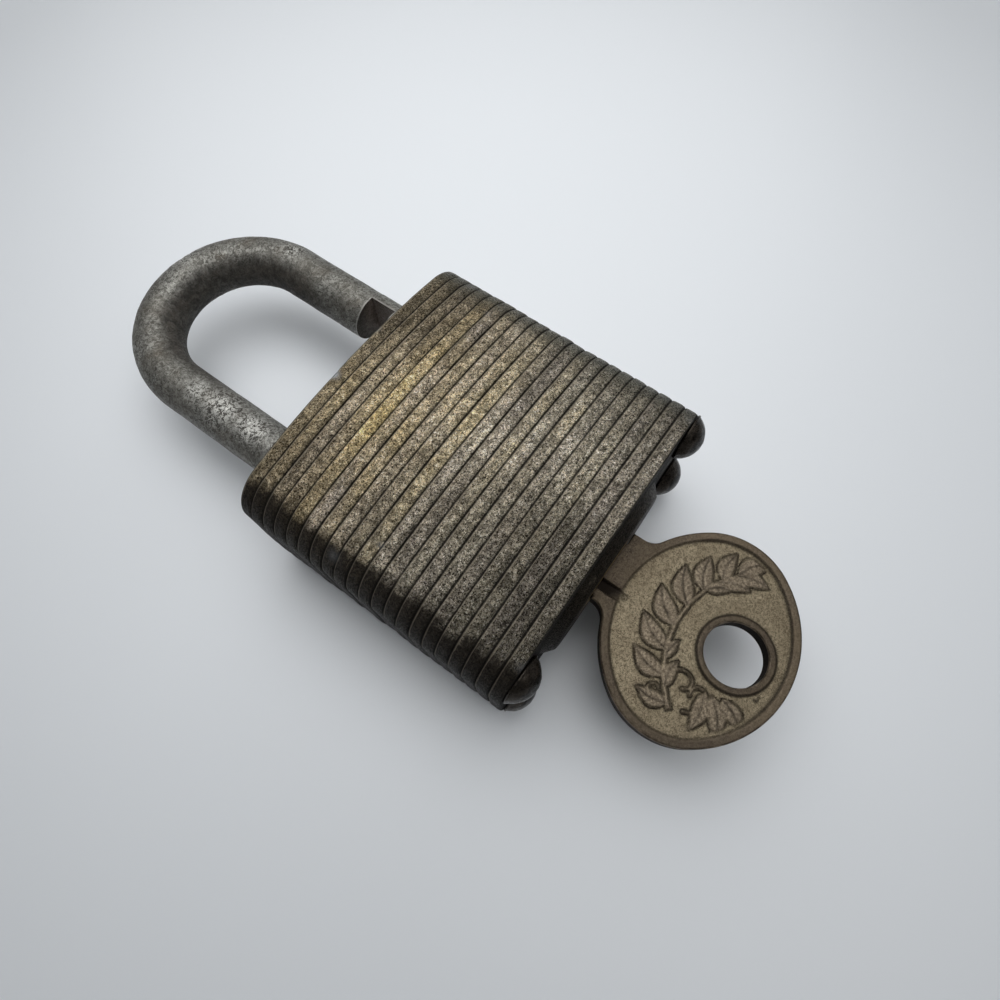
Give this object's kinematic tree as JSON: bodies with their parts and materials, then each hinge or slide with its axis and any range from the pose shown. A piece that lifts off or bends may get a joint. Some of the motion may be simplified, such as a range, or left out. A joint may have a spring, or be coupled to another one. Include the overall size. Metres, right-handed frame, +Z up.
{
  "type": "laminated padlock",
  "caption": "Weathered laminated steel padlock, unlocked, its shackle sprung up and an oval-bowed key in the keyway.",
  "frame": {"origin": "middle of the flat strip on the back of the body, which the padlock lies on", "axes": "+X across the body from the heel leg to the toe leg of the shackle, +Y from the keyway end to the shackle end, +Z up through the thickness from the back to the front"},
  "size_m": [0.04, 0.096, 0.0214],
  "materials": {
    "body_plate": "steel plates with a brown-bronze patina, a fine grain, thin dark seams and traces of brassy film",
    "rivet_steel": "dark brown-black oxidised steel rivets with rubbed tops",
    "shackle_zinc": "dull grey plated steel bar, mottled, with pits, pale scratches and dark grime inside the bow",
    "key_bronze": "brown tarnished key metal with an olive sunk field and a rubbed rim",
    "cylinder_brass": "dull turned brass, tarnished at the face",
    "spring_steel": "bright spring wire and hardened parts with a light oil film"
  },
  "bodies": {
    "case": {"plate_01": "body_plate", "plate_02": "body_plate", "plate_03": "body_plate", "plate_04": "body_plate", "plate_05": "body_plate", "plate_06": "body_plate", "plate_07": "body_plate", "plate_08": "body_plate", "plate_09": "body_plate", "plate_10": "body_plate", "plate_11": "body_plate", "plate_12": "body_plate", "plate_13": "body_plate", "plate_14": "body_plate", "plate_15": "body_plate", "plate_16": "body_plate", "plate_17": "body_plate", "plate_18": "body_plate", "plate_19": "body_plate", "plate_20": "body_plate", "plate_21": "body_plate", "rivets": "rivet_steel", "cylinder_shell": "cylinder_brass", "spring_cover": "cylinder_brass", "heel_keeper": "spring_steel", "shackle_spring": "spring_steel", "bolt_spring": "spring_steel", "driver_pins": "spring_steel", "pin_springs": "spring_steel"},
    "lifter": {"spring_cap": "spring_steel"},
    "shackle": {"shackle": "shackle_zinc"},
    "bolt": {"locking_bolt": "cylinder_brass"},
    "plug": {"plug": "cylinder_brass", "plug_clip": "spring_steel", "tailpiece": "spring_steel", "key_pins": "cylinder_brass"},
    "key": {"key": "key_bronze"}
  },
  "joints": [
    {"name": "shackle_lift", "type": "slide", "parent": "case", "child": "lifter", "axis": [0, 1, 0], "range_m": [-0.0118, 0], "stiffness_N_per_m": 400, "springref_m": 0.0075, "deforming": ["shackle_spring"]},
    {"name": "shackle_swing", "type": "hinge", "parent": "lifter", "child": "shackle", "pos_m": [-0.01145, 0, 0.01064], "axis": [0, 1, 0], "range_deg": [-180, 180]},
    {"name": "plug_turn", "type": "hinge", "parent": "case", "child": "plug", "pos_m": [-0.0005, 0, 0.01064], "axis": [0, -1, 0], "range_deg": [0, 180]},
    {"name": "bolt_slide", "type": "slide", "parent": "case", "child": "bolt", "axis": [1, 0, 0], "range_m": [0, 0.00321], "deforming": ["bolt_spring"]},
    {"name": "key_slide", "type": "slide", "parent": "plug", "child": "key", "axis": [0, -1, 0], "range_m": [0, 0.03]}
  ],
  "couplings": [
    {"joint": "bolt_slide", "follows": "plug_turn", "m_per_rad": 0.0010186}
  ]
}
